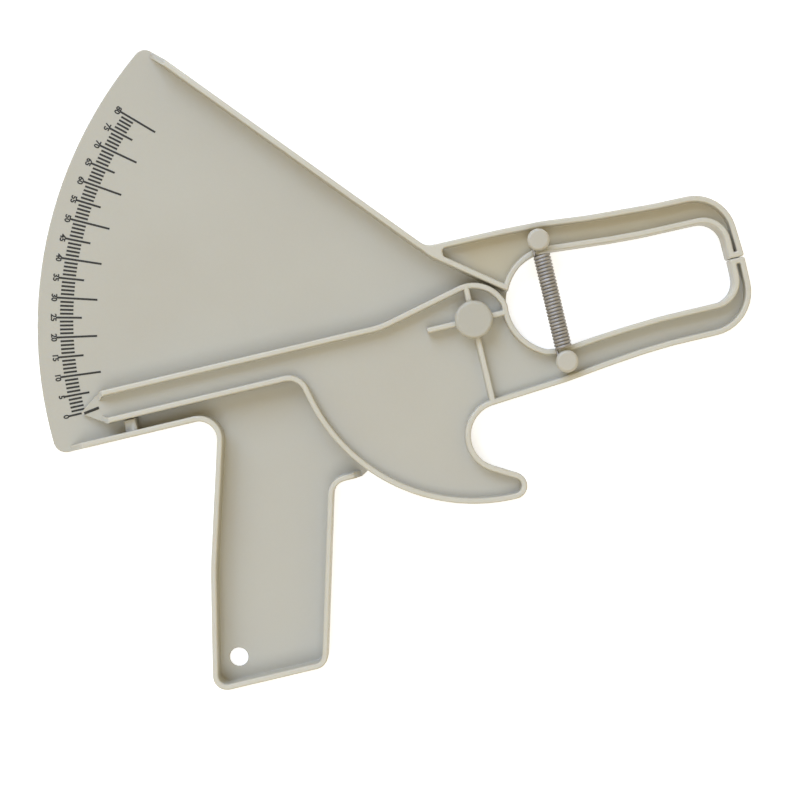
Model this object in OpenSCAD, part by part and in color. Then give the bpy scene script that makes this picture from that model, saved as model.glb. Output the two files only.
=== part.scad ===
// Skinfold caliper, moulded. A fixed body carries the scale, the grip and the upper jaw.
// A lever carries the pointer, the finger trigger and the lower jaw, and turns on the body's
// pivot post. A tension spring between two pegs pulls the jaws shut.
// The origin is on the pivot axis at the back face. +X runs to the jaw tips, +Y to the
// high end of the scale and +Z out of the face that is read.

/* [Plate and ribs] */
// Thickness of the fixed body's plate
plate_t = 2; // [1.5:0.1:2.5]
// Height of the rib tops above the back face
rib_top = 12; // [11:0.5:13]
// Width of every rib
rib_w = 2.2; // [1.8:0.1:2.5]
// Space between the plate and the lever
lever_gap = 0.5; // [0.3:0.1:0.8]
// Depth of the lever's web and of the upper arm's floor below the rib tops
web_depth = 5; // [4:0.5:6]
// Thickness of the lever's web
web_t = 2; // [1.5:0.1:2.5]

/* [Scale sector] */
// Radius of the scale edge
sector_r = 165.6; // [163:0.2:168]
// How far the scale edge's centre lies behind the pivot, seen from the jaws
sector_back = 3.7; // [2:0.1:5]
// How far the scale edge's centre lies below the jaws' line
sector_down = 1.3; // [0:0.1:2.5]
// Direction of the sector's upper edge, from the jaws' line
sector_heading = 131.1; // [130:0.1:132]
// Depth of the sector's lower edge below the jaws' line
sector_low = 13.5; // [12:0.5:15]
// Radius of the sector's top corner
apex_r = 4.5; // [2:0.5:5]
// Radius of the sector's foot corner
foot_r = 5; // [2:0.5:5]
// Length over which the sector's upper rib fades out towards the top corner
upper_fade = 9; // [5:0.5:20]
// Length over which the sector's lower rib fades out towards the foot
lower_fade = 7; // [4:1:12]

/* [Grip] */
// Depth of the grip's end below the jaws' line
grip_end = 116.4; // [110:0.2:122]
// Depth of the shelf beside the grip, below the jaws' line
shelf_y = 48.7; // [47:0.1:50]
// Distance of the shelf's free end from the pivot
shelf_r = 73.8; // [73:0.1:76]
// Length over which the shelf's rib fades out at its free end
shelf_fade = 3; // [2:0.5:6]
// Radius between the sector's lower edge and the grip
grip_root_r = 7; // [4:0.5:10]
// Radius of the grip's corners
grip_corner_r = 5.5; // [3:0.5:8]
// Radius of the hanging hole
hang_r = 3.6; // [2.5:0.1:4]
// Length of the stop that the pointer rests against
stop_l = 4.6; // [3:0.1:8]

/* [Jaws and opening] */
// Distance of the jaws' outer face from the pivot
reach = 106.5; // [104:0.5:109]
// Width of the jaws' contact faces
jaw_w = 5.8; // [5.2:0.1:6.4]
// Space between the closed jaws, and between the pointer and its stop
jaw_gap = 0.3; // [0.2:0.1:0.5]
// Radius of the round end of the opening
ring_r = 19.2; // [18.8:0.1:19.4]
// Distance of the round end's centre from the pivot
ring_x = 33; // [32.8:0.1:33.4]

/* [Lever] */
// Half width of the pointer
pointer_half = 6.4; // [5.5:0.1:7]
// How far the pointer's tip reaches over the short marks
pointer_over = 1.7; // [0.5:0.1:4]
// Length of the pointer's tapered tip
pointer_taper = 10; // [8:0.5:12]
// Length of the slope on the pointer's tip, where its ribs have faded out
pointer_slope = 8.2; // [8:0.1:8.5]
// Thickness of the pointer's tip at the end of that slope
pointer_tip_t = 1.5; // [1:0.1:2]
// Radius of the lever's back edge about the pivot
back_r = 70.5; // [69:0.5:71]
// Radius of the hump over the pivot
hump_r = 14.2; // [14:0.1:14.6]
// Slope of the edge that climbs from the pointer to the hump
hump_slope = 13; // [11:0.5:15]
// Radius of the finger notch
notch_r = 12.1; // [11:0.1:13]
// Depth of the lever between the finger notch and its back edge
notch_floor = 12.8; // [11:0.1:15]
// Radius of the trigger's tip
trigger_r = 5.1; // [4:0.1:6]
// Length of the spoke that ends free
free_spoke = 18.2; // [15:0.2:22]

/* [Pivot] */
// Radius of the body's pivot post
post_r = 4.5; // [4:0.1:5]
// Radial clearance of the lever and the washer on the post
pivot_clear = 0.05; // [0.02:0.01:0.1]
// Radius of the lever's hub
hub_r = 6.9; // [6.2:0.1:7.2]
// Radius of the washer between the plate and the lever
washer_r = 9; // [8:0.5:11]
// Space between the washer and the lever
washer_clear = 0.05; // [0.02:0.01:0.1]
// Radius of the pivot cap
cap_r = 7.3; // [7:0.1:8]
// Thickness of the pivot cap
cap_t = 2.6; // [2:0.1:3]
// Space between the lever's hub and the pivot cap
hub_clear = 0.3; // [0.1:0.1:0.5]
// Radius of the cap's stem, which is pressed into the post
stem_r = 2.5; // [2:0.1:3]
// Length of the cap's stem
stem_l = 8; // [5:0.5:9]

/* [Spring and pegs] */
// Distance of the pegs from the pivot along the jaws
peg_x = 30.6; // [30:0.1:31.2]
// Distance of each peg from the jaws' line
peg_y = 23.7; // [23.2:0.1:24]
// Radius of the pegs' bosses
boss_r = 3.2; // [2.8:0.1:3.4]
// Radius of the pegs
peg_r = 1.6; // [1.2:0.1:1.8]
// Depth of each peg in its boss
peg_depth = 9; // [6:0.5:11]
// Radius of the pegs' caps
peg_cap_r = 4.25; // [4:0.05:4.4]
// Thickness of the pegs' caps
peg_cap_t = 2.4; // [1.8:0.1:3]
// Space above and below the wire on a peg
wire_clear = 0.4; // [0.3:0.1:0.6]
// Diameter of the spring wire
wire_d = 0.78; // [0.7:0.02:0.86]
// Mean radius of the spring's curls
coil_r = 3; // [2.6:0.1:3.2]
// Mean radius of the loops at the spring's ends
loop_r = 3.2; // [3:0.05:3.4]
// Distance from one curl to the next
pitch = 1.3; // [1.26:0.01:1.32]
// Number of curls
curls = 28; // [26:1:28]
// Space between the spring and the rib tops
coil_clear = 0.6; // [0.4:0.1:1]

/* [Scale print] */
// Turn of the lever for one millimetre between the jaws
deg_per_mm = 0.55; // [0.545:0.001:0.555]
// Highest reading
scale_max = 80; // [60:10:80]
// Space between the marks of one millimetre and the scale edge, at the middle reading
scale_margin = 8.6; // [7:0.1:11]
// How much wider that space is at the lowest and the highest reading
margin_rise = 1.2; // [0:0.1:2]
// Length of the marks of one millimetre
ones_l = 5.2; // [4:0.1:6]
// Length of the marks of five millimetres
fives_l = 10.1; // [8:0.1:11]
// Length of the marks of ten millimetres
tens_l = 15.9; // [13:0.1:17]
// How far the longer marks run past the short ones towards the scale edge
mark_over = 1.6; // [1:0.1:2]
// Width of a printed mark
mark_w = 0.76; // [0.5:0.02:0.9]
// Thickness of the printed ink
ink_t = 0.06; // [0.04:0.01:0.1]
// Length of the line on the pointer's tip
index_l = 6.9; // [5:0.1:7.1]
// Width of the line on the pointer's tip
index_w = 1.05; // [0.6:0.05:1.2]
// Space between that line and the pointer's tip
index_inset = 1.6; // [1.6:0.1:1.8]
// Turn of that line against the pointer, as it was printed
index_turn = 6.5; // [0:0.5:8]

/* [Hidden] */

plastic = "#d6cfbb";
cap_plastic = "#ddd8cb";
steel = "#9a948c";
ink = "#2b2b2b";
round_steps = 48;
arc_step = 9;
fade_sink = 0.5;

// Heights that follow from the sizes above
lever_z = plate_t + lever_gap;
web_top = rib_top - web_depth;
web_z = web_top - web_t;
hub_top = rib_top;
cap_z = hub_top + hub_clear;
spring_z = rib_top + coil_clear + coil_r + wire_d / 2;
boss_top = spring_z - wire_d / 2 - wire_clear;
peg_cap_z = spring_z + wire_d / 2 + wire_clear;
half_gap = jaw_gap / 2;
jaw_x = reach - jaw_w;
sector_c = [-sector_back, -sector_down];
pointer_l = marks_end(0) - ones_l + pointer_over;

// Corners of the outlines, each [x, y, radius], in order round the outline with the solid
// on the left. The points were chosen by eye along the object's edges.
crotch = [-11.3, 31.6, 6];
grip_bend = [-119.9, -69.7, 100];
grip_root_x = -103.7;
shelf_root_x = -66.4;
grip_left_heading = 257.8;
grip_right_heading = 254.7;
hang_hole = [-118.2, -106];
stop_x = -139.8;
upper_inner_corners = [[32, 19.1, 10], [46, 17.9, 80], [58, 16.9, 80], [71, 16.2, 80]];
upper_outer_corners = [[78, 27.4, 100], [52, 28.9, 100], [34, 30.8, 60], [17, 31.4, 60]];
upper_tip_r = 16.2;
upper_tip_y = 27;
upper_tip_lean = 1.5;
upper_inner_tip_y = 15.9;
lower_inner_corners = [[70, -15.1, 80], [57, -15.8, 80], [45, -16.7, 80], [30.5, -18.3, 12]];
lower_outer_corners = [[30, -31.3, 100], [45, -29.4, 100], [60, -27.9, 60], [72, -27.2, 60]];
lower_tip_r = 17;
lower_tip_y = 27.2;
lower_tip_lean = 0.3;
lower_inner_tip_y = 15.1;
inner_tip_r = 8.5;
inner_tip_lean = 0.1;
jaw_corner_r = 0.8;
upper_ring_end = 105;
lower_ring_end = 245;
diagonal_ring_angle = 153;
diagonal_point = [-7, 26];
ring_rib_angle = 156;
ring_hidden_angle = 189;
ring_step = 3;
plate_disc_r = 13.4;
disc_end_angle = -18;
gusset_x = -5.6;
gusset_r = 1.5;
rib_overlap = 3;
rib_bend_r = 15;
rib_bend_run = 30;
fade_lead = 1.5;
stop_drop = 3;
notch_c = [0.6, notch_r + notch_floor - back_r];
notch_exit = 240;
notch_entry = 94.4;
back_start = 193;
back_root_r = 6;
taper_r = 2;

function polar(r, a) = [r * cos(a), r * sin(a)];
function unit(v) = v / norm(v);
function flat(p) = [p.x, p.y];
function left_of(d) = [-d.y, d.x];
function reverse(list) = [for (i = [len(list) - 1:-1:0]) list[i]];
function at_y(p, heading, y) = [p.x + (y - p.y) / tan(heading), y];
function corner_at(p, r) = [p.x, p.y, r];
function lines_meet(p, d, q, e) = p + d * cross(q - p, e) / cross(d, e);
function on_circle(p, heading, c, r) =
    let (d = polar(1, heading), q = p - c, b = q * d) p + d * (sqrt(b * b - q * q + r * r) - b);

// Distance of the scale edge from the pivot in one direction, and of the outer end of a
// mark of one millimetre at one reading
function scale_edge(a) = norm(on_circle([0, 0], a, sector_c, sector_r));
function marks_end(reading) = scale_edge(180 - reading * deg_per_mm) - scale_margin
    - margin_rise * pow(2 * reading / scale_max - 1, 2);

// Sharp points along an arc, as corners without a radius
function arc(c, r, a0, a1, step = 3) =
    let (n = ceil(abs(a1 - a0) / step))
    [for (i = [0:n]) let (p = c + polar(r, a0 + (a1 - a0) * i / n)) [p.x, p.y, 0]];

// Points of one rounded corner between its two neighbours
function round_corner(before, v, after) =
    let (r = v[2], d1 = unit(flat(before) - flat(v)), d2 = unit(flat(after) - flat(v)),
        half = acos(max(-1, min(1, d1 * d2))) / 2)
    r == 0 || half > 89.9 ? [flat(v)] :
    let (start = flat(v) + d1 * r / tan(half), c = flat(v) + unit(d1 + d2) * r / sin(half),
        sweep = sign(cross(d2, d1)) * (180 - 2 * half), a = atan2(start.y - c.y, start.x - c.x),
        n = max(2, ceil(abs(sweep) / arc_step)))
    [for (i = [0:n]) c + polar(r, a + sweep * i / n)];

function closed_outline(list) =
    let (n = len(list))
    [for (i = [0:n - 1]) each round_corner(list[(i + n - 1) % n], list[i], list[(i + 1) % n])];
function open_outline(list) =
    let (n = len(list))
    [flat(list[0]), for (i = [1:n - 2]) each round_corner(list[i - 1], list[i], list[i + 1]),
        flat(list[n - 1])];

// One corner moved in from its edges by a wall, with the radius that the wall leaves
function inset_corner(d1, v, d2, wall) =
    let (m = (left_of(d1) + left_of(d2)) / (1 + left_of(d1) * left_of(d2)), p = flat(v) + wall * m,
        r = v[2] == 0 ? 0 : cross(d1, d2) > 0 ? max(v[2] - wall, 0.4) : v[2] + wall)
    [p.x, p.y, r];
function direction(a, b) = unit(flat(b) - flat(a));
function inset_closed(list, wall) =
    let (n = len(list))
    [for (i = [0:n - 1]) inset_corner(direction(list[(i + n - 1) % n], list[i]), list[i],
        direction(list[i], list[(i + 1) % n]), wall)];
function inset_open(list, wall) =
    let (n = len(list))
    [for (i = [0:n - 1]) inset_corner(direction(list[max(i, 1) - 1], list[max(i, 1)]), list[i],
        direction(list[min(i, n - 2)], list[min(i, n - 2) + 1]), wall)];

// Frame outline
apex = on_circle(flat(crotch), sector_heading, sector_c, sector_r);
apex_angle = atan2(apex.y - sector_c.y, apex.x - sector_c.x);
foot_angle = 180 + asin((sector_low + sector_c.y) / sector_r);
sector_arc = arc(sector_c, sector_r, apex_angle, foot_angle, 2);
sector_corners = [for (i = [0:len(sector_arc) - 1]) let (p = sector_arc[i])
    [p.x, p.y, i == 0 ? apex_r : i == len(sector_arc) - 1 ? foot_r : 0]];
upper_arm_corners = concat(upper_inner_corners,
    [[jaw_x - inner_tip_lean, upper_inner_tip_y, inner_tip_r], [jaw_x, half_gap, jaw_corner_r],
        [reach, half_gap, jaw_corner_r], [reach - upper_tip_lean, upper_tip_y, upper_tip_r]],
    upper_outer_corners, [crotch]);
grip_left = at_y(grip_bend, grip_left_heading, -grip_end);
grip_right = at_y([shelf_root_x, -shelf_y], grip_right_heading, -grip_end);
shelf_end = [-sqrt(shelf_r * shelf_r - shelf_y * shelf_y), -shelf_y, 0];
grip_corners = [[grip_root_x, -sector_low, grip_root_r], grip_bend,
    [grip_left.x, grip_left.y, grip_corner_r], [grip_right.x, grip_right.y, grip_corner_r],
    [shelf_root_x, -shelf_y, grip_corner_r], shelf_end];
ring_c = [ring_x, 0];
// The plate's edge under the lever runs from the shelf to a disc round the pivot
disc_tangent = atan2(-shelf_end.y, -shelf_end.x) - asin(plate_disc_r / norm(flat(shelf_end))) - 90;
frame_corners = concat(
    arc(ring_c, ring_r, ring_hidden_angle, upper_ring_end, ring_step), upper_arm_corners,
    sector_corners, grip_corners, arc([0, 0], plate_disc_r, disc_tangent, disc_end_angle, 9));

// Lever outline
rise_start = polar(hump_r, 90 + hump_slope);
rise_end = at_y(rise_start, 180 + hump_slope, pointer_half);
back_top = polar(back_r, back_start);
back_root = at_y(back_top, back_start - 90, -pointer_half);
tip_normal = polar(1, notch_exit);
tip_along = polar(1, notch_exit + 90);
tip_base = notch_c + (notch_r + trigger_r) * tip_normal;
tip_run = let (b = tip_base * tip_along) sqrt(b * b - tip_base * tip_base + pow(back_r - trigger_r, 2)) - b;
tip_c = tip_base + tip_along * tip_run;
tip_low = atan2(tip_c.y, tip_c.x);
taper_x = -pointer_l + pointer_taper;
slope_x = -pointer_l + pointer_slope;
slope_angle = atan((web_top - lever_z - pointer_tip_t) / pointer_slope);
hump_meets_ring = acos((hump_r * hump_r + ring_x * ring_x - ring_r * ring_r) / (2 * hump_r * ring_x));
ring_meets_hump = 180 - asin(hump_r * sin(hump_meets_ring) / ring_r);
lever_corners = concat(
    arc([0, 0], back_r, back_start, 360 + tip_low),
    arc(tip_c, trigger_r, tip_low + 15, notch_exit - 180, 15),
    arc(notch_c, notch_r, notch_exit, notch_entry, 8),
    lower_outer_corners,
    [[reach - lower_tip_lean, -lower_tip_y, lower_tip_r], [reach, -half_gap, jaw_corner_r],
        [jaw_x, -half_gap, jaw_corner_r], [jaw_x - inner_tip_lean, -lower_inner_tip_y, inner_tip_r]],
    lower_inner_corners,
    arc(ring_c, ring_r, lower_ring_end, ring_meets_hump, ring_step),
    arc([0, 0], hump_r, hump_meets_ring + 6, 90 + hump_slope, 6),
    [[rise_end.x, rise_end.y, 30], [taper_x, pointer_half, taper_r], [-pointer_l, 0, 0.6],
        [taper_x, -pointer_half, taper_r], [back_root.x, back_root.y, back_root_r]]);

// A solid of an outline between two heights
module slab(low, high, points) {
    translate([0, 0, low]) linear_extrude(high - low) polygon(points);
}

// A rib along an open stretch of an outline
module edge_rib(corners) {
    slab(0, rib_top, concat(open_outline(corners), reverse(open_outline(inset_open(corners, rib_w)))));
}

// A straight rib between two points
module straight_rib(a, b, low, high) {
    side = left_of(direction(a, b)) * rib_w / 2;
    slab(low, high, [a - side, b - side, b + side, a + side]);
}

// Takes away what stands above a slope that falls from the rib tops into a floor
module fade(at, heading, run, face_z) {
    wide = 30;
    floor_z = face_z - fade_sink;
    back = run / (rib_top - floor_z);
    translate([at.x, at.y, 0]) rotate(heading) rotate([90, 0, 0]) translate([0, 0, -wide / 2])
        linear_extrude(wide)
            polygon([[-back, rib_top + 1], [run, floor_z], [run + wide, floor_z],
                [run + wide, rib_top + 1]]);
}

module hole(at, r, low, high) {
    translate([at.x, at.y, low]) cylinder(r = r, h = high - low, $fn = round_steps);
}

// A boss that takes a peg
module boss(at, low) {
    translate([at.x, at.y, low]) cylinder(r = boss_r, h = boss_top - low, $fn = round_steps);
}

upper_peg = [peg_x, peg_y];
lower_peg = [peg_x, -peg_y];
peg_foot = boss_top - peg_depth;
stem_foot = cap_z - stem_l;

// Ribs and stop of the fixed body. The sector's rib bends into the diagonal one, which has a
// gusset in the corner between them and the arm's rib.
upper_rib_end = round_corner(crotch, sector_corners[0], sector_corners[1])[0];
lower_rib_x = sector_c.x - sector_r * cos(foot_angle - 180) + foot_r + fade_sink;
diagonal_end = ring_c + polar(ring_r + rib_w / 2, diagonal_ring_angle);
diagonal_d = direction(diagonal_point, diagonal_end);
diagonal_side = left_of(diagonal_d) * rib_w / 2;
sector_d = polar(1, sector_heading);
sector_side = left_of(sector_d) * rib_w;
rib_bend = lines_meet(flat(crotch) + sector_side, sector_d, diagonal_point - diagonal_side, diagonal_d);
gusset_low = lines_meet([gusset_x, 0], [0, 1], diagonal_point + diagonal_side, diagonal_d);
gusset_top = crotch.y - rib_w;
diagonal_corners = [
    corner_at(rib_bend, rib_bend_r),
    corner_at(diagonal_end - diagonal_side, 0),
    corner_at(diagonal_end + diagonal_side, 0),
    corner_at(gusset_low, gusset_r),
    [gusset_x, gusset_top, gusset_r],
    [gusset_x + rib_overlap, gusset_top, 0],
    [gusset_x + rib_overlap, gusset_top + rib_w / 2, 0],
    [crotch.x, gusset_top + rib_w / 2, 0],
    corner_at(flat(crotch) + sector_side / 2 + sector_d * rib_bend_run, 0)];

// The upper arm's floor ends inside the ribs round it
arm_floor_corners = concat([corner_at(diagonal_end - diagonal_d * rib_overlap, 0)],
    arc(ring_c, ring_r + rib_w / 2, diagonal_ring_angle - ring_step, upper_ring_end, ring_step),
    inset_open([for (i = [0:len(upper_arm_corners) - 2]) upper_arm_corners[i]], rib_w / 2),
    [[gusset_x, gusset_top + rib_w / 3, 0],
        corner_at(rib_bend + diagonal_side + diagonal_d * rib_overlap, 0)]);

module frame_ribs() {
    edge_rib(concat(arc(ring_c, ring_r, ring_rib_angle, upper_ring_end, ring_step), upper_arm_corners,
        [[upper_rib_end.x, upper_rib_end.y, 0]]));
    edge_rib(concat([[lower_rib_x, -sector_low, 0]], grip_corners));
    slab(0, rib_top, closed_outline(diagonal_corners));
    translate([stop_x, -sector_low + rib_w / 2, 0])
        cube([stop_l, sector_low - rib_w / 2 - pointer_half - jaw_gap, rib_top - stop_drop]);
}

module frame() {
    color(plastic) difference() {
        union() {
            slab(0, plate_t, closed_outline(frame_corners));
            slab(plate_t / 2, web_top, closed_outline(arm_floor_corners));
            difference() {
                frame_ribs();
                fade(upper_rib_end - polar(upper_fade, sector_heading), sector_heading, upper_fade,
                    plate_t);
                fade([lower_rib_x + lower_fade, -sector_low], 180, lower_fade, plate_t);
                fade([shelf_end.x - shelf_fade, -shelf_y], 0, shelf_fade, plate_t);
            }
            cylinder(r = post_r, h = cap_z, $fn = round_steps);
            boss(upper_peg, 0);
        }
        hole([0, 0], stem_r, stem_foot, cap_z + 1);
        hole(upper_peg, peg_r, peg_foot, boss_top + 1);
        hole(hang_hole, hang_r, -1, plate_t + 1);
    }
}

// What stands on the pointer's tip slope, with its origin where the slope leaves the web
module on_tip_slope() {
    translate([slope_x, 0, web_top]) rotate([0, -slope_angle, 0]) children();
}

module lever() {
    outline = closed_outline(lever_corners);
    inside = closed_outline(inset_closed(lever_corners, rib_w));
    above_tip = 2 * pointer_slope;
    color(plastic) difference() {
        union() {
            slab(web_z, web_top, outline);
            difference() {
                slab(lever_z, rib_top, outline);
                slab(web_top, rib_top + 1, inside);
                slab(lever_z - 1, web_z, inside);
                fade([taper_x + fade_lead, 0], 180, taper_x + fade_lead - slope_x, web_top);
            }
            straight_rib([0, 0], [hump_r - rib_w / 2, 0], web_z, hub_top);
            straight_rib([0, 0], [0, hump_r - rib_w / 2], web_z, hub_top);
            straight_rib([0, 0], [-free_spoke, 0], web_z, hub_top);
            straight_rib([0, 0], [0, notch_c.y + notch_r + rib_w / 2], web_z, hub_top);
            translate([0, 0, lever_z]) cylinder(r = hub_r, h = hub_top - lever_z, $fn = round_steps);
            boss(lower_peg, lever_z);
        }
        on_tip_slope() translate([-above_tip, -above_tip / 2, 0]) cube(above_tip);
        hole([0, 0], post_r + pivot_clear, lever_z - 1, hub_top + 1);
        hole(lower_peg, peg_r, peg_foot, boss_top + 1);
    }
}

module pivot_washer() {
    color(cap_plastic) difference() {
        translate([0, 0, plate_t]) cylinder(r = washer_r, h = lever_gap - washer_clear, $fn = round_steps);
        hole([0, 0], post_r + pivot_clear, plate_t - 1, lever_z + 1);
    }
}

// A turned cap on a stem, with its upper edge rounded
module cap_on_stem(at, r, low, thick, stem, foot) {
    edge = min(thick * 0.55, r / 3);
    head = closed_outline([[0, low, 0], [r, low, 0.3], [r, low + thick, edge], [0, low + thick, 0]]);
    translate([at.x, at.y, 0]) {
        rotate_extrude($fn = round_steps) polygon(head);
        translate([0, 0, foot]) cylinder(r = stem, h = low - foot + thick / 2, $fn = round_steps);
    }
}

module pivot_cap() {
    color(plastic) cap_on_stem([0, 0], cap_r, cap_z, cap_t, stem_r, stem_foot);
}

module upper_spring_peg() {
    color(cap_plastic) cap_on_stem(upper_peg, peg_cap_r, peg_cap_z, peg_cap_t, peg_r, peg_foot);
}

module lower_spring_peg() {
    color(cap_plastic) cap_on_stem(lower_peg, peg_cap_r, peg_cap_z, peg_cap_t, peg_r, peg_foot);
}

// The wire's route: a loop round the upper peg, a lead, the curls, a lead and a loop round
// the lower peg. The curls turn about a line above the rib tops.
curl_rings = 8;
loop_rings = 12;
lead_rings = 4;
wire_sides = 6;
loop_sweep = 270;
loop_meets_lead = 30;
lead_pull = 1.2;
coil_half = curls * pitch / 2;
curl_fall = [0, -pitch / (2 * PI), -coil_r] / coil_r;

function bezier(a, b, c, d, t) =
    pow(1 - t, 3) * a + 3 * pow(1 - t, 2) * t * b + 3 * (1 - t) * t * t * c + pow(t, 3) * d;
function round_peg(peg, a) = [peg.x + loop_r * cos(a), peg.y + loop_r * sin(a), spring_z];
function along_loop(a) = [-sin(a), cos(a), 0];
function lead(from, leave, to, arrive) = [for (i = [1:lead_rings - 1])
    bezier(from, from + leave * lead_pull, to - arrive * lead_pull, to, i / lead_rings)];

upper_loop = [for (i = [0:loop_rings])
    round_peg(upper_peg, 180 + loop_meets_lead - loop_sweep * (1 - i / loop_rings))];
lower_loop = [for (i = [0:loop_rings])
    round_peg(lower_peg, 180 - loop_meets_lead + loop_sweep * i / loop_rings)];
coil = [for (i = [0:curls * curl_rings]) let (a = 180 + 360 * i / curl_rings)
    [peg_x + coil_r * cos(a), coil_half - pitch * i / curl_rings, spring_z + coil_r * sin(a)]];
coil_end = coil[len(coil) - 1];
upper_lead = lead(upper_loop[loop_rings], along_loop(180 + loop_meets_lead), coil[0], curl_fall);
lower_lead = lead(coil_end, curl_fall, lower_loop[0], along_loop(180 - loop_meets_lead));
wire = concat(upper_loop, upper_lead, coil, lower_lead, lower_loop);
wire_count = len(wire);
hook_start = wire_count - len(lower_lead) - len(lower_loop) - 1;

wire_tangents = [for (i = [0:wire_count - 1])
    unit(wire[min(i + 1, wire_count - 1)] - wire[max(i - 1, 0)])];
// Side directions carried along the wire without twist
wire_sideways = [for (i = 0, u = [0, 0, 1]; i < wire_count;
    i = i + 1, u = i < wire_count ? unit(u - (u * wire_tangents[i]) * wire_tangents[i]) : u) u];

// Least space between the wire and itself, over points at least half a curl apart
wire_gap = min([for (i = [0:wire_count - 1]) for (j = [i + 5:1:wire_count - 1])
    norm(wire[i] - wire[j])]) - wire_d;
echo(least_gap_of_spring_to_itself = wire_gap);

module wire_tube(first, last) {
    points = [for (i = [first:last]) for (k = [0:wire_sides - 1])
        let (a = 360 * k / wire_sides, u = wire_sideways[i], v = cross(wire_tangents[i], u))
        wire[i] + wire_d / 2 * (cos(a) * u + sin(a) * v)];
    rings = last - first;
    sides = [for (i = [0:rings - 1]) for (k = [0:wire_sides - 1])
        let (a = i * wire_sides + k, b = i * wire_sides + (k + 1) % wire_sides)
        each [[a, a + wire_sides, b + wire_sides], [a, b + wire_sides, b]]];
    start_cap = [for (k = [1:wire_sides - 2]) [0, k, k + 1]];
    e = rings * wire_sides;
    end_cap = [for (k = [1:wire_sides - 2]) [e, e + k + 1, e + k]];
    polyhedron(points, concat(sides, start_cap, end_cap));
}

module spring_coil() {
    color(steel) wire_tube(0, hook_start);
}

module spring_lower_hook() {
    color(steel) wire_tube(hook_start, wire_count - 1);
}

// Printed marks for a list of readings, which run past the short marks' outer ends
module marks(readings, over, length) {
    for (reading = readings) rotate(180 - reading * deg_per_mm)
        translate([marks_end(reading) + over - length, -mark_w / 2, plate_t])
            cube([length, mark_w, ink_t]);
}

module scale_one_marks() {
    color(ink) marks([for (v = [0:scale_max]) if (v % 5 != 0) v], 0, ones_l);
}

module scale_five_marks() {
    color(ink) marks([for (v = [5:10:scale_max]) v], mark_over, fives_l);
}

module scale_ten_marks() {
    color(ink) marks([for (v = [0:10:scale_max]) v], mark_over, tens_l);
}

module pointer_index_line() {
    color(ink) on_tip_slope()
        translate([index_inset + index_l / 2 - pointer_slope / cos(slope_angle), 0, 0])
            rotate(index_turn) translate([-index_l / 2, -index_w / 2, 0]) cube([index_l, index_w, ink_t]);
}

frame();
lever();
pivot_washer();
pivot_cap();
upper_spring_peg();
lower_spring_peg();
spring_coil();
spring_lower_hook();
scale_one_marks();
scale_five_marks();
scale_ten_marks();
pointer_index_line();
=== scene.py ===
import math

import bmesh
import bpy
from bpy.props import FloatProperty, FloatVectorProperty, IntProperty, PointerProperty
from mathutils import Matrix, Vector


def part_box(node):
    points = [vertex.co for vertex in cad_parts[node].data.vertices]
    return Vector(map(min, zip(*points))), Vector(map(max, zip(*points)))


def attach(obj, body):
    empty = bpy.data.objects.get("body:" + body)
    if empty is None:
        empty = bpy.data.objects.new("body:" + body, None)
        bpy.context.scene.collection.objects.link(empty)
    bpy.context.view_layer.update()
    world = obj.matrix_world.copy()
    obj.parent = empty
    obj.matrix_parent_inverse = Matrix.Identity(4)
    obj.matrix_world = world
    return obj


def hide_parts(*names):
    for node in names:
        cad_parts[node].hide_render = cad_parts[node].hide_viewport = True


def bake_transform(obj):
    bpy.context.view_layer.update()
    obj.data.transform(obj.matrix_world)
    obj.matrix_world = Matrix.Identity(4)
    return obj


bl_info = {
    "name": "Skinfold caliper",
    "version": (1, 0, 0),
    "blender": (4, 5, 0),
    "location": "3D View > Sidebar > Caliper",
    "description": "Dresses the solids of a moulded skinfold caliper and sets its stage",
    "category": "Object",
}

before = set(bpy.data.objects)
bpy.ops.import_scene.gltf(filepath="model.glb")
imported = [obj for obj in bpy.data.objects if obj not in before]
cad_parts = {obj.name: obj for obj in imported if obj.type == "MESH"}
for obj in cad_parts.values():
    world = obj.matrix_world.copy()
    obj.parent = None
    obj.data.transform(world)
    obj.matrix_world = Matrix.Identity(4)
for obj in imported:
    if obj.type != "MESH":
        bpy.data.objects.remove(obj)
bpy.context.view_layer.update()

MM = 0.001
WEB_TOP = 7 * MM  # the lever's web and the upper arm's floor
RIB_TOP = 12 * MM
ABOVE_ALL = (20 * MM, 20 * MM)  # a band of heights that no moulding reaches
# The tone below the rib tops and the tone of the rib tops: the tops are painted lighter, a painted highlight
# where the light falls on them.
PLAIN_TONE, LIT_TOP_TONE = 0.90, 1.05


def linear(code):
    """The linear colour of an sRGB hex value."""
    channels = [int(code[i:i + 2], 16) / 255 for i in (1, 3, 5)]
    return tuple(c / 12.92 if c <= 0.04045 else ((c + 0.055) / 1.055) ** 2.4 for c in channels)


def length(name, description, mm, low=0.0):
    """A length that the user can change, given in millimetres."""
    return FloatProperty(name=name, description=description, default=mm * MM, min=low,
                         precision=5, unit="LENGTH", subtype="DISTANCE")


def colour(name, description, code):
    """A colour that the user can change, given as an sRGB hex value."""
    return FloatVectorProperty(name=name, description=description, default=linear(code),
                               size=3, min=0, max=1, subtype="COLOR")


class MouldingSettings(bpy.types.PropertyGroup):
    """Rounding and colour of the two mouldings and of the caps"""

    rim: length("Rim rounding", "Radius of the edges of the rib tops", 0.75)
    plate: length("Plate rounding", "Radius of the plate's and the web's free edges", 0.45)
    root: length("Root fillet", "Radius between the ribs and the faces that they stand on", 0.3)
    body_colour: colour("Plastic", "Colour of the mouldings", "#cbc7bb")
    cap_colour: colour("Cap", "Colour of the pivot cap", "#c6c2b6")
    peg_colour: colour("Pegs", "Colour of the spring pegs and the washer", "#cdc8bc")


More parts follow.
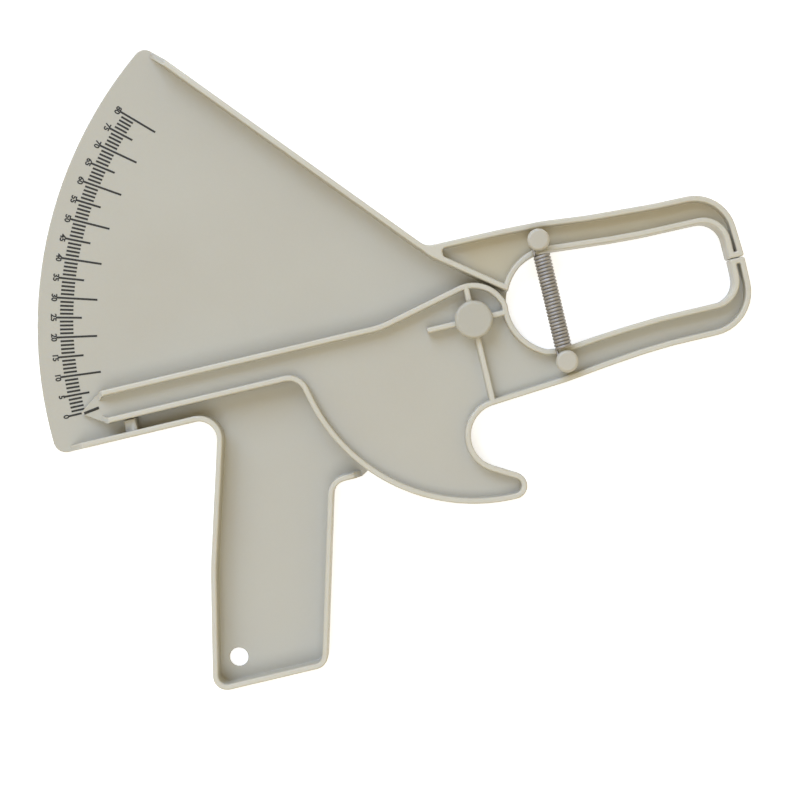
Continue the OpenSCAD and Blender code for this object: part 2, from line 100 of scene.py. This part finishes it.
class SpringSettings(bpy.types.PropertyGroup):
    """Sizes and colour of the tension spring"""

    wire: length("Wire", "Diameter of the spring wire", 1.24)
    coil_radius: length("Coil radius", "Mean radius of the curls", 2.74)
    loop_radius: length("Loop radius", "Mean radius of the end loops", 3.2)
    pitch: length("Pitch", "Distance from one curl to the next", 1.3)
    curls: IntProperty(name="Curls", description="Number of curls", default=28, min=3)
    steel: colour("Steel", "Colour of the wire", "#bbb8b6")


class PrintSettings(bpy.types.PropertyGroup):
    """Sizes and colour of the printed scale"""

    numeral: length("Numeral height", "Height of the printed numerals", 2.1)
    numeral_gap: length("Numeral gap", "From the end of a mark to the middle of its numeral", 0.95)
    step: IntProperty(name="Step", description="Millimetres from one numeral to the next", default=5, min=1)
    highest: IntProperty(name="Highest", description="Highest reading", default=80, min=10)
    per_mm: FloatProperty(name="Turn per millimetre", description="Turn of the lever for one millimetre",
                          default=math.radians(0.55), unit="ROTATION", subtype="ANGLE")
    ink: colour("Ink", "Colour of the printing ink", "#272623")


class StageSettings(bpy.types.PropertyGroup):
    """Camera, lamps and floor"""

    camera_height: length("Camera height", "Height of the camera above the floor", 720)
    camera_x: length("Camera X", "Place of the camera along the jaws' line", -34.5, low=-1)
    camera_y: length("Camera Y", "Place of the camera across the jaws' line", -23.4, low=-1)
    camera_turn: FloatProperty(name="Camera turn", description="Turn of the picture about the line of sight",
                               default=math.radians(-13.3), unit="ROTATION", subtype="ANGLE")
    lens: FloatProperty(name="Lens", description="Focal length of the lens in millimetres", default=83.3)
    key_lean: FloatProperty(name="Key lean", description="Angle of the key soft box from straight above",
                            default=math.radians(48), unit="ROTATION", subtype="ANGLE")
    key_turn: FloatProperty(name="Key turn", description="Angle of that box to the left of the picture's top",
                            default=math.radians(33), unit="ROTATION", subtype="ANGLE")
    key_size: length("Key size", "Side of the key soft box", 2300)
    key: FloatProperty(name="Key light", description="Power of the key soft box in watts", default=72.7)
    key_colour: colour("Key colour", "Colour of the key soft box, a cool window light", "#bbd6ff")
    low_lean: FloatProperty(name="Low lean", description="Angle of the second soft box from straight above",
                            default=math.radians(22), unit="ROTATION", subtype="ANGLE")
    low_size: length("Low size", "Side of the second soft box", 1700)
    low: FloatProperty(name="Low light", description="Power of the second soft box in watts", default=31)
    low_colour: colour("Low colour", "Colour of the second soft box", "#e8f2ff")
    lamp_distance: length("Lamp distance", "Distance of the soft boxes from the caliper", 3200)
    fill: FloatProperty(name="Fill light", description="Strength of the room's light", default=0.645)
    fill_colour: colour("Fill colour", "Colour of the room's warm light", "#ffecbb")


def add(tree, kind, inputs=None, **settings):
    """One shader node, with its settings, and its inputs set to values or linked to outputs."""
    node = tree.nodes.new(kind)
    for name, value in settings.items():
        setattr(node, name, value)
    for name, value in (inputs or {}).items():
        if isinstance(value, bpy.types.NodeSocket):
            tree.links.new(value, node.inputs[name])
        else:
            node.inputs[name].default_value = value
    return node


def new_material(name):
    """An empty material with its node tree and its surface socket."""
    material = bpy.data.materials.new(name)
    material.use_nodes = True
    tree = material.node_tree
    tree.nodes.clear()
    output = add(tree, "ShaderNodeOutputMaterial")
    return material, tree, output.inputs["Surface"]


def with_alpha(rgb):
    """A colour with the fourth value that a colour socket takes."""
    return (*rgb, 1.0)


def shaded(rgb, factor, warmth=0.0):
    """A colour made darker or lighter, and warmer where warmth is above 0."""
    red, green, blue = rgb
    return (red * factor * (1 + warmth), green * factor, blue * factor * (1 - warmth), 1.0)


def moulded_abs(name, rgb, painted_shade_z=ABOVE_ALL, warmth=(1.0, 1.0, 1.0), lit_top_tone=PLAIN_TONE):
    """Injection-moulded ABS: satin, a little translucent, with a faint orange peel from the mould.

    In the arms, between two heights, the tone turns warmer by the given factors: this is painted shade,
    the warmer light of the arms' channels, as the photograph shows them. The rib tops take a tone of their
    own, a painted highlight that makes them lighter than what lies below them, where the light falls on them.
    """
    material, tree, surface = new_material(name)
    place = add(tree, "ShaderNodeTexCoord").outputs["Object"]
    cloud_width, speck_width, peel_width = 45 * MM, 1.1 * MM, 0.8 * MM
    warm_edge, warm_fade, arm_start = 0.4 * MM, 0.5 * MM, 6 * MM
    clouds = add(tree, "ShaderNodeTexNoise", {"Vector": place, "Scale": 1 / cloud_width, "Detail": 2.0})
    specks = add(tree, "ShaderNodeTexNoise", {"Vector": place, "Scale": 1 / speck_width, "Detail": 3.0})
    cloud_tone = add(tree, "ShaderNodeMix", {
        "Factor": clouds.outputs["Fac"], "A": shaded(rgb, 0.95, 0.012), "B": shaded(rgb, 1.03, -0.012)},
        data_type="RGBA")
    part = add(tree, "ShaderNodeSeparateXYZ", {"Vector": place})
    # Painted shade: a warm tint in the arms' channels, between two heights and on the arms' side of the hub.
    shade_rise = add(tree, "ShaderNodeMapRange", {
        "Value": part.outputs["Z"], "From Min": painted_shade_z[0] - warm_edge, "From Max": painted_shade_z[0] + warm_edge})
    past = add(tree, "ShaderNodeMapRange", {
        "Value": part.outputs["Z"], "From Min": painted_shade_z[1] - warm_fade, "From Max": painted_shade_z[1] + warm_fade})
    below = add(tree, "ShaderNodeMath", {0: shade_rise.outputs["Result"], 1: past.outputs["Result"]},
                operation="SUBTRACT", use_clamp=True)
    in_arm = add(tree, "ShaderNodeMapRange", {
        "Value": part.outputs["X"], "From Min": -arm_start, "From Max": arm_start})
    shade_share = add(tree, "ShaderNodeMath", {0: below.outputs["Value"], 1: in_arm.outputs["Result"]},
                operation="MULTIPLY")
    # Painted highlight: the rib tops are painted lighter than what lies below them.
    top = add(tree, "ShaderNodeMapRange", {
        "Value": part.outputs["Z"], "From Min": RIB_TOP - 1.7 * MM, "From Max": RIB_TOP - 0.4 * MM,
        "To Min": PLAIN_TONE, "To Max": lit_top_tone})
    shade_tinted = add(tree, "ShaderNodeMix", {
        "Factor": shade_share.outputs["Value"], "A": cloud_tone.outputs["Result"], "B": with_alpha(warmth)},
        data_type="RGBA", blend_type="MULTIPLY")
    fine = add(tree, "ShaderNodeMapRange", {
        "Value": specks.outputs["Fac"], "To Min": 0.985, "To Max": 1.015})
    level = add(tree, "ShaderNodeMath", {0: top.outputs["Result"], 1: fine.outputs["Result"]},
                operation="MULTIPLY")
    toned = add(tree, "ShaderNodeVectorMath", {0: shade_tinted.outputs["Result"]}, operation="SCALE")
    tree.links.new(level.outputs["Value"], toned.inputs["Scale"])
    gloss = add(tree, "ShaderNodeMapRange", {
        "Value": clouds.outputs["Fac"], "To Min": 0.36, "To Max": 0.48})
    peel = add(tree, "ShaderNodeTexNoise", {"Vector": place, "Scale": 1 / peel_width, "Detail": 2.0})
    bump = add(tree, "ShaderNodeBump", {
        "Height": peel.outputs["Fac"], "Strength": 0.25, "Distance": 0.02 * MM})
    shader = add(tree, "ShaderNodeBsdfPrincipled", {
        "Base Color": toned.outputs["Vector"], "Roughness": gloss.outputs["Result"],
        "Normal": bump.outputs["Normal"], "IOR": 1.54, "Subsurface Weight": 0.18,
        "Subsurface Radius": (1.0, 0.72, 0.42), "Subsurface Scale": 1.6 * MM})
    tree.links.new(shader.outputs["BSDF"], surface)
    return material


def drawn_wire(name, rgb):
    """Drawn spring steel: bare, greyish and oiled, with fine lines along the wire."""
    material, tree, surface = new_material(name)
    place = add(tree, "ShaderNodeTexCoord").outputs["Object"]
    patch_width, line_width = 2.5 * MM, 0.3 * MM
    patches = add(tree, "ShaderNodeTexNoise", {"Vector": place, "Scale": 1 / patch_width, "Detail": 3.0})
    lines = add(tree, "ShaderNodeTexNoise", {"Vector": place, "Scale": 1 / line_width, "Detail": 2.0})
    tone = add(tree, "ShaderNodeMix", {
        "Factor": patches.outputs["Fac"], "A": shaded(rgb, 0.72, 0.03), "B": shaded(rgb, 1.15)},
        data_type="RGBA")
    gloss = add(tree, "ShaderNodeMapRange", {
        "Value": lines.outputs["Fac"], "To Min": 0.55, "To Max": 0.7})
    shader = add(tree, "ShaderNodeBsdfPrincipled", {
        "Base Color": tone.outputs["Result"], "Roughness": gloss.outputs["Result"], "Metallic": 1.0})
    tree.links.new(shader.outputs["BSDF"], surface)
    return material


def printing_ink(name, rgb):
    """Pad-printed ink: matt, thin, and greyer where the pad left less of it."""
    material, tree, surface = new_material(name)
    place = add(tree, "ShaderNodeTexCoord").outputs["Object"]
    patch_width = 0.9 * MM
    patches = add(tree, "ShaderNodeTexNoise", {"Vector": place, "Scale": 1 / patch_width, "Detail": 3.0})
    cover = add(tree, "ShaderNodeMapRange", {
        "Value": patches.outputs["Fac"], "From Min": 0.3, "From Max": 0.7})
    tone = add(tree, "ShaderNodeMix", {
        "Factor": cover.outputs["Result"], "A": shaded(rgb, 0.9), "B": shaded(rgb, 1.7, 0.05)},
        data_type="RGBA")
    shader = add(tree, "ShaderNodeBsdfPrincipled", {
        "Base Color": tone.outputs["Result"], "Roughness": 0.62})
    tree.links.new(shader.outputs["BSDF"], surface)
    return material


def dress(obj, material):
    """Gives an object this material alone."""
    obj.data.materials.clear()
    obj.data.materials.append(material)


def new_piece(name, mesh, material, body):
    """An object of the mesh that wears the material and moves with the body."""
    piece = bpy.data.objects.new(name, mesh)
    bpy.context.scene.collection.objects.link(piece)
    dress(piece, material)
    if body:
        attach(piece, body)
    return piece


def is_upright(face):
    """Whether a face is part of a wall."""
    return abs(face.normal.z) < 0.02


def is_level(face):
    """Whether a face lies flat."""
    return abs(face.normal.z) > 0.999


def height(edge):
    """The height of an edge's middle."""
    return (edge.verts[0].co.z + edge.verts[1].co.z) / 2


def rounded_edges(bm, pick, radius, segments):
    """Rounds the edges that pick chooses from their two faces."""
    edges = [e for e in bm.edges if len(e.link_faces) == 2 and pick(e, *e.link_faces)]
    bmesh.ops.bevel(bm, geom=edges, offset=radius, offset_type="OFFSET", segments=segments, profile=0.5,
                    affect="EDGES", clamp_overlap=False, loop_slide=False, material=-1)


def moulding(node, floors, top_z, keep_clear, settings):
    """A copy of a moulding's solid with its rims, free edges and rib roots rounded.

    floors and top_z are the heights of the faces that the ribs stand on and of their tops.
    keep_clear lists the places where the walls stand too close for a root fillet.
    """
    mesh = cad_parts[node].data.copy()
    bm = bmesh.new()
    bm.from_mesh(mesh)
    bmesh.ops.remove_doubles(bm, verts=bm.verts, dist=0.001 * MM)
    bmesh.ops.dissolve_limit(bm, angle_limit=math.radians(0.3), verts=bm.verts, edges=bm.edges)
    above = floors[0] + 0.2 * MM

    def meets_wall(a, b):
        return is_level(a) and is_upright(b) or is_level(b) and is_upright(a)

    def is_rim(edge, a, b):
        return above < height(edge) < top_z + 0.1 * MM and edge.is_convex and meets_wall(a, b)

    def is_root(edge, a, b):
        middle = (edge.verts[0].co + edge.verts[1].co) / 2
        clear = all((middle.xy - place).length > room for place, room in keep_clear)
        on_floor = any(abs(height(edge) - z) < 0.01 * MM for z in floors)
        return on_floor and not edge.is_convex and clear and meets_wall(a, b)

    def is_free(edge, a, b):
        return height(edge) < above and edge.is_convex and meets_wall(a, b)

    rounded_edges(bm, is_rim, settings.rim, 4)
    rounded_edges(bm, is_root, settings.root, 2)
    rounded_edges(bm, is_free, settings.plate, 2)
    bmesh.ops.remove_doubles(bm, verts=bm.verts, dist=0.001 * MM)
    bm.to_mesh(mesh)
    bm.free()
    mesh.shade_smooth()
    mesh.set_sharp_from_angle(angle=math.radians(35))
    return mesh


def keep_faces_flat(piece):
    """Lets each large face set the normals along its border, so that it stays flat."""
    weigh = piece.modifiers.new("flat_faces", "WEIGHTED_NORMAL")
    weigh.mode = "FACE_AREA"
    weigh.weight = 100
    weigh.keep_sharp = True


class CALIPER_OT_mouldings(bpy.types.Operator):
    """Make the fixed body and the lever with rounded ribs"""

    bl_idname = "caliper.mouldings"
    bl_label = "Mouldings"

    def execute(self, context):
        settings = context.scene.caliper_moulding
        peg_room, hub_room, tip_room = 5 * MM, 14.5 * MM, 12 * MM
        tight = [(Vector((low.x + high.x, low.y + high.y)) / 2, peg_room)
                 for low, high in (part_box("upper_spring_peg"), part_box("lower_spring_peg"))]
        pointer_tip = Vector((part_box("lever")[0].x, 0))
        tight += [(Vector((0, 0)), hub_room), (pointer_tip, tip_room)]
        plate_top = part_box("scale_ten_marks")[0].z
        # Heights of the painted warm shade in the arms' channels: on the frame's floor and on the lever's
        # walls.
        arm_floor_shade_z, arm_wall_shade_z = (6.2 * MM, 8.2 * MM), (7.9 * MM, 10.5 * MM)
        for node, body, floors, painted_shade_z, warmth in (
                ("frame", "body", (plate_top, WEB_TOP), arm_floor_shade_z, (1.01, 0.94, 0.79)),
                ("lever", "lever", (WEB_TOP,), arm_wall_shade_z, (1.04, 1.01, 0.91))):
            mesh = moulding(node, floors, RIB_TOP, tight, settings)
            # The rib tops of the frame and the lever are painted lighter, a painted highlight.
            plastic = moulded_abs("abs_" + node, settings.body_colour, painted_shade_z, warmth, LIT_TOP_TONE)
            piece = new_piece(node + "_moulding", mesh, plastic, body)
            keep_faces_flat(piece)
            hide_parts(node)
        return {"FINISHED"}


class CALIPER_OT_caps(bpy.types.Operator):
    """Finish the pivot cap, the washer and the spring pegs"""

    bl_idname = "caliper.caps"
    bl_label = "Caps and pegs"

    def execute(self, context):
        settings = context.scene.caliper_moulding
        dress(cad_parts["pivot_cap"], moulded_abs("abs_pivot_cap", settings.cap_colour))
        pale = moulded_abs("abs_peg", settings.peg_colour)
        for node in ("pivot_washer", "upper_spring_peg", "lower_spring_peg"):
            dress(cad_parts[node], pale)
        return {"FINISHED"}


def spring_points(settings, peg_x, peg_y, z):
    """The wire's route: an upper loop, a lead, the curls, a lead and a lower loop."""
    loop_steps, curl_steps, lead_steps = 24, 28, 6
    sweep, meet, pull = math.radians(270), math.radians(30), 1.2 * MM
    loop, coil, pitch = settings.loop_radius, settings.coil_radius, settings.pitch

    def round_peg(y, angle):
        return Vector((peg_x + loop * math.cos(angle), y + loop * math.sin(angle), z))

    def along_loop(angle):
        return Vector((-math.sin(angle), math.cos(angle), 0))

    def lead(start, leave, end, arrive):
        a, b = start + leave * pull, end - arrive * pull
        for i in range(1, lead_steps):
            t = i / lead_steps
            yield (start * (1 - t) ** 3 + a * 3 * t * (1 - t) ** 2
                   + b * 3 * t * t * (1 - t) + end * t ** 3)

    half = settings.curls * pitch / 2
    count = settings.curls * curl_steps
    upper = [round_peg(peg_y, math.pi + meet - sweep * (1 - i / loop_steps)) for i in range(loop_steps + 1)]
    lower = [round_peg(-peg_y, math.pi - meet + sweep * i / loop_steps) for i in range(loop_steps + 1)]
    curls = [Vector((peg_x - coil * math.cos(math.tau * i / curl_steps), half - pitch * i / curl_steps,
                     z - coil * math.sin(math.tau * i / curl_steps))) for i in range(count + 1)]
    fall = Vector((0, -pitch / math.tau, -coil)).normalized()
    first = lead(upper[-1], along_loop(math.pi + meet), curls[0], fall)
    last = lead(curls[-1], fall, lower[0], along_loop(math.pi - meet))
    return upper + list(first) + curls + list(last) + lower, half


def curve_mesh(curve):
    """The mesh of a curve or a text. The curve is removed."""
    carrier = bpy.data.objects.new(curve.name, curve)
    bpy.context.scene.collection.objects.link(carrier)
    bpy.context.view_layer.update()
    mesh = bpy.data.meshes.new_from_object(carrier.evaluated_get(bpy.context.evaluated_depsgraph_get()))
    bpy.data.objects.remove(carrier)
    bpy.data.curves.remove(curve)
    return mesh


def tube_mesh(name, points, radius):
    """A mesh of a round wire along the points."""
    curve = bpy.data.curves.new(name, "CURVE")
    curve.dimensions = "3D"
    curve.bevel_depth = radius
    curve.bevel_resolution = 3
    curve.use_fill_caps = True
    spline = curve.splines.new("POLY")
    spline.points.add(len(points) - 1)
    for point, place in zip(spline.points, points):
        point.co = (*place, 1.0)
    return curve_mesh(curve)


class CALIPER_OT_spring(bpy.types.Operator):
    """Wind the tension spring between its pegs"""

    bl_idname = "caliper.spring"
    bl_label = "Spring"

    def execute(self, context):
        settings = context.scene.caliper_spring
        low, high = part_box("upper_spring_peg")
        peg_x, peg_y = (low.x + high.x) / 2, (low.y + high.y) / 2
        coil_low, coil_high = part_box("spring_coil")
        z = (coil_low.z + coil_high.z) / 2
        points, half = spring_points(settings, peg_x, peg_y, z)
        mesh = tube_mesh("spring", points, settings.wire / 2)
        mesh.shade_smooth()
        spring = new_piece("tension_spring", mesh, drawn_wire("spring_steel", settings.steel), None)
        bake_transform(spring)
        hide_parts("spring_coil", "spring_lower_hook")
        return {"FINISHED"}


def numeral_mesh(text, height, thickness):
    """Flat digits, centred on the origin."""
    digit_share = 0.7  # how much of the font's size a digit fills
    curve = bpy.data.curves.new("numeral", "FONT")
    curve.body = text
    curve.size = height / digit_share
    curve.align_x = "CENTER"
    curve.align_y = "CENTER"
    curve.offset = height * 0.05
    curve.extrude = thickness / 2
    curve.resolution_u = 4
    return curve_mesh(curve)


def mark_end(nodes, angle):
    """How far from the pivot the printed mark in one direction ends."""
    along = Vector((math.cos(angle), math.sin(angle)))
    corners = [vertex.co.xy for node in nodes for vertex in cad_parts[node].data.vertices]
    return max(corner.dot(along) for corner in corners if abs(corner.cross(along)) < 0.5 * MM)


class CALIPER_OT_scale_print(bpy.types.Operator):
    """Print the marks, the numerals and the pointer's line"""

    bl_idname = "caliper.scale_print"
    bl_label = "Scale print"

    def execute(self, context):
        settings = context.scene.caliper_print
        ink = printing_ink("pad_printed_ink", settings.ink)
        for node in ("scale_one_marks", "scale_five_marks", "scale_ten_marks", "pointer_index_line"):
            dress(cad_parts[node], ink)
        face_z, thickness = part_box("scale_ten_marks")[0].z, 0.06 * MM
        for reading in range(0, settings.highest + 1, settings.step):
            angle = math.pi - reading * settings.per_mm
            mesh = numeral_mesh(str(reading), settings.numeral, thickness)
            reach = mark_end(("scale_five_marks", "scale_ten_marks"), angle) + settings.numeral_gap
            place = Vector((math.cos(angle) * reach, math.sin(angle) * reach, face_z + thickness / 2))
            mesh.transform(Matrix.Translation(place) @ Matrix.Rotation(angle + math.pi / 2, 4, "Z"))
            new_piece(f"numeral_{reading}", mesh, ink, "body")
        return {"FINISHED"}


def soft_box(name, place, aim, size, power, rgb):
    """A square lamp that looks at a point."""
    lamp = bpy.data.lights.new(name, "AREA")
    lamp.shape = "SQUARE"
    lamp.size = size
    lamp.energy = power
    lamp.color = rgb
    obj = bpy.data.objects.new(name, lamp)
    obj.location = place
    obj.rotation_euler = (Vector(aim) - Vector(place)).to_track_quat("-Z", "Y").to_euler()
    bpy.context.scene.collection.objects.link(obj)


def floor_material():
    """Plain white board. The camera sees it lit up to white, and it keeps the object's shadow."""
    glow_strength = 0.62
    material, tree, surface = new_material("white_board")
    path = add(tree, "ShaderNodeLightPath")
    seen = add(tree, "ShaderNodeMath", {
        0: path.outputs["Is Camera Ray"], 1: path.outputs["Is Glossy Ray"]}, operation="MAXIMUM")
    glow = add(tree, "ShaderNodeEmission", {"Color": (1, 1, 1, 1)})
    level = add(tree, "ShaderNodeMath", {0: seen.outputs["Value"], 1: glow_strength}, operation="MULTIPLY")
    tree.links.new(level.outputs["Value"], glow.inputs["Strength"])
    board = add(tree, "ShaderNodeBsdfDiffuse", {"Color": (0.8, 0.8, 0.8, 1)})
    both = add(tree, "ShaderNodeAddShader", {0: glow.outputs["Emission"], 1: board.outputs["BSDF"]})
    tree.links.new(both.outputs["Shader"], surface)
    return material


def room_light(strength, rgb):
    """The room: a warm even light, darker straight above, and white where the camera sees it."""
    dark_share = 0.3
    world = bpy.data.worlds.new("room")
    world.use_nodes = True
    tree = world.node_tree
    tree.nodes.clear()
    output = add(tree, "ShaderNodeOutputWorld")
    path = add(tree, "ShaderNodeLightPath")
    seen = add(tree, "ShaderNodeBackground", {"Color": (1, 1, 1, 1), "Strength": 1.0})
    direction = add(tree, "ShaderNodeTexCoord").outputs["Generated"]
    rise = add(tree, "ShaderNodeSeparateXYZ", {"Vector": direction})
    level = add(tree, "ShaderNodeMapRange", {
        "Value": rise.outputs["Z"], "From Min": 0.86, "From Max": 0.97, "To Min": strength,
        "To Max": strength * dark_share})
    lit = add(tree, "ShaderNodeBackground", {
        "Color": with_alpha(rgb), "Strength": level.outputs["Result"]})
    mix = add(tree, "ShaderNodeMixShader", {
        0: path.outputs["Is Camera Ray"], 1: lit.outputs["Background"], 2: seen.outputs["Background"]})
    tree.links.new(mix.outputs["Shader"], output.inputs["Surface"])
    bpy.context.scene.world = world


class CALIPER_OT_stage(bpy.types.Operator):
    """Set the floor, the lamps and the camera"""

    bl_idname = "caliper.stage"
    bl_label = "Stage"

    def execute(self, context):
        settings = context.scene.caliper_stage
        context.scene.view_settings.view_transform = "Standard"
        bm = bmesh.new()
        bmesh.ops.create_grid(bm, x_segments=1, y_segments=1, size=3)
        mesh = bpy.data.meshes.new("floor")
        bm.to_mesh(mesh)
        bm.free()
        floor = bpy.data.objects.new("floor", mesh)
        floor.location.z = -0.05 * MM
        context.scene.collection.objects.link(floor)
        dress(floor, floor_material())

        place = Vector((settings.camera_x, settings.camera_y, settings.camera_height))
        up = Vector((-math.sin(settings.camera_turn), math.cos(settings.camera_turn), 0))
        right = Vector((math.cos(settings.camera_turn), math.sin(settings.camera_turn), 0))
        middle = Vector((place.x, place.y, 0))
        boxes = (("key_soft_box", settings.key_lean, settings.key_turn, settings.key_size, settings.key,
                  settings.key_colour),
                 ("low_soft_box", settings.low_lean, math.pi, settings.low_size, settings.low,
                  settings.low_colour))
        for name, lean, turn, size, power, rgb in boxes:
            side = up * math.cos(turn) - right * math.sin(turn)
            toward = side * math.sin(lean) + Vector((0, 0, math.cos(lean)))
            soft_box(name, middle + toward * settings.lamp_distance, middle, size, power, rgb)
        room_light(settings.fill, settings.fill_colour)

        camera = bpy.data.cameras.new("camera")
        camera.lens = settings.lens
        camera.sensor_width = 36
        camera.clip_start = 0.01
        viewer = bpy.data.objects.new("camera", camera)
        viewer.location = place
        viewer.rotation_euler = (0, 0, settings.camera_turn)
        context.scene.collection.objects.link(viewer)
        context.scene.camera = viewer
        return {"FINISHED"}


OPERATORS = (CALIPER_OT_stage, CALIPER_OT_mouldings, CALIPER_OT_caps, CALIPER_OT_spring,
             CALIPER_OT_scale_print)


class CALIPER_PT_panel(bpy.types.Panel):
    """Sizes, colours and pieces of the caliper"""

    bl_idname = "CALIPER_PT_panel"
    bl_label = "Skinfold caliper"
    bl_space_type = "VIEW_3D"
    bl_region_type = "UI"
    bl_category = "Caliper"

    def draw(self, context):
        scene = context.scene
        for group in (scene.caliper_moulding, scene.caliper_spring, scene.caliper_print, scene.caliper_stage):
            box = self.layout.box()
            for name in group.__annotations__:
                box.prop(group, name)
        for operator in OPERATORS:
            self.layout.operator(operator.bl_idname)


CLASSES = (MouldingSettings, SpringSettings, PrintSettings, StageSettings, *OPERATORS, CALIPER_PT_panel)


def register():
    for cls in CLASSES:
        bpy.utils.register_class(cls)
    bpy.types.Scene.caliper_moulding = PointerProperty(type=MouldingSettings)
    bpy.types.Scene.caliper_spring = PointerProperty(type=SpringSettings)
    bpy.types.Scene.caliper_print = PointerProperty(type=PrintSettings)
    bpy.types.Scene.caliper_stage = PointerProperty(type=StageSettings)


def unregister():
    del bpy.types.Scene.caliper_stage
    del bpy.types.Scene.caliper_print
    del bpy.types.Scene.caliper_spring
    del bpy.types.Scene.caliper_moulding
    for cls in reversed(CLASSES):
        bpy.utils.unregister_class(cls)


def main():
    register()
    bpy.ops.caliper.stage()
    bpy.ops.caliper.mouldings()
    bpy.ops.caliper.caps()
    bpy.ops.caliper.spring()
    bpy.ops.caliper.scale_print()


if __name__ == "__main__":
    main()
